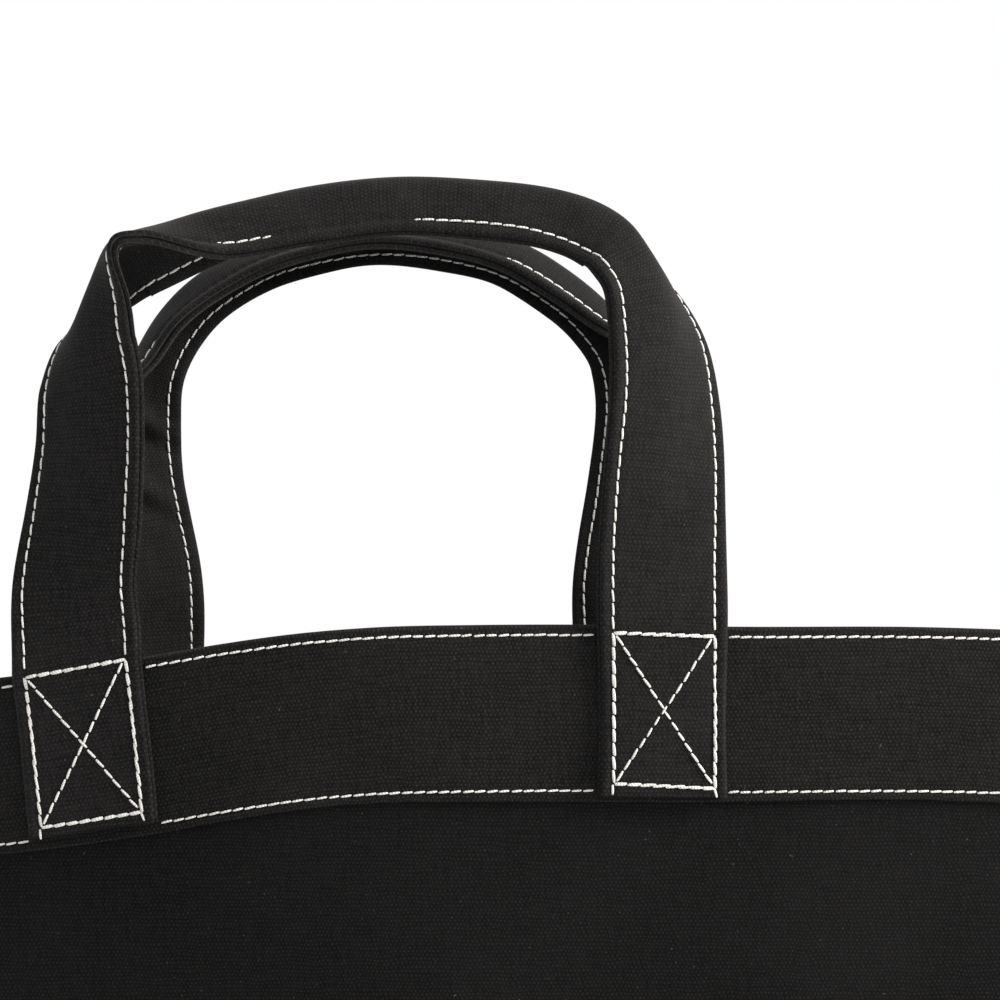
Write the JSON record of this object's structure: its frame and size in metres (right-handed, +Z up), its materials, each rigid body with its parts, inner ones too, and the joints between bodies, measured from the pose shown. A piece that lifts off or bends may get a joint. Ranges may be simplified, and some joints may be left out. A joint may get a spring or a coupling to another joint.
{
  "type": "garden tool bag",
  "caption": "Open-topped canvas tote for hand tools, with a folded, stitched rim band and a pair of sewn strap handles that fold over the rim.",
  "frame": {"origin": "on the ground under the middle of the bag", "axes": "+X to the right and -Y towards the viewer who faces the front panel, +Z up"},
  "size_m": [0.4403, 0.2412, 0.445],
  "materials": {
    "body_canvas": "heavy black plain-weave canvas, matt, slightly lint-flecked",
    "band_canvas": "folded black canvas band, matt",
    "strap_canvas": "doubled black canvas strap, matt, paler on worn folds",
    "binding_tape": "black woven tape, matt",
    "white_thread": "thick off-white twisted sewing thread"
  },
  "bodies": {
    "bag": {"back_handle_left_end_backing": "strap_canvas", "back_handle_left_end_box_stitching": "white_thread", "back_handle_left_end_facing": "strap_canvas", "back_handle_right_end_backing": "strap_canvas", "back_handle_right_end_box_stitching": "white_thread", "back_handle_right_end_facing": "strap_canvas", "back_left_seam_binding": "binding_tape", "back_panel": "body_canvas", "back_right_seam_binding": "binding_tape", "back_rim_band": "band_canvas", "back_rim_lower_stitching": "white_thread", "back_rim_upper_stitching": "white_thread", "base_panel": "body_canvas", "front_handle_left_end_backing": "strap_canvas", "front_handle_left_end_box_stitching": "white_thread", "front_handle_left_end_facing": "strap_canvas", "front_handle_right_end_backing": "strap_canvas", "front_handle_right_end_box_stitching": "white_thread", "front_handle_right_end_facing": "strap_canvas", "front_left_seam_binding": "binding_tape", "front_panel": "body_canvas", "front_right_seam_binding": "binding_tape", "front_rim_band": "band_canvas", "front_rim_lower_stitching": "white_thread", "front_rim_upper_stitching": "white_thread", "left_panel": "body_canvas", "left_rim_band": "band_canvas", "left_rim_lower_stitching": "white_thread", "left_rim_upper_stitching": "white_thread", "right_panel": "body_canvas", "right_rim_band": "band_canvas", "right_rim_lower_stitching": "white_thread", "right_rim_upper_stitching": "white_thread"},
    "front_handle": {"front_handle_inner_edge_stitching": "white_thread", "front_handle_loop_backing": "strap_canvas", "front_handle_loop_facing": "strap_canvas", "front_handle_outer_edge_stitching": "white_thread"},
    "back_handle": {"back_handle_inner_edge_stitching": "white_thread", "back_handle_loop_backing": "strap_canvas", "back_handle_loop_facing": "strap_canvas", "back_handle_outer_edge_stitching": "white_thread"}
  },
  "joints": [
    {"name": "front_handle_fold", "type": "hinge", "parent": "bag", "child": "front_handle", "pos_m": [0, -0.11537, 0.29531], "axis": [0.9976, -0.006, 0.0692], "range_deg": [-40, 165]},
    {"name": "back_handle_fold", "type": "hinge", "parent": "bag", "child": "back_handle", "pos_m": [0, 0.11182, 0.29712], "axis": [-0.9991, -0.003, -0.0418], "range_deg": [-40, 165]}
  ]
}
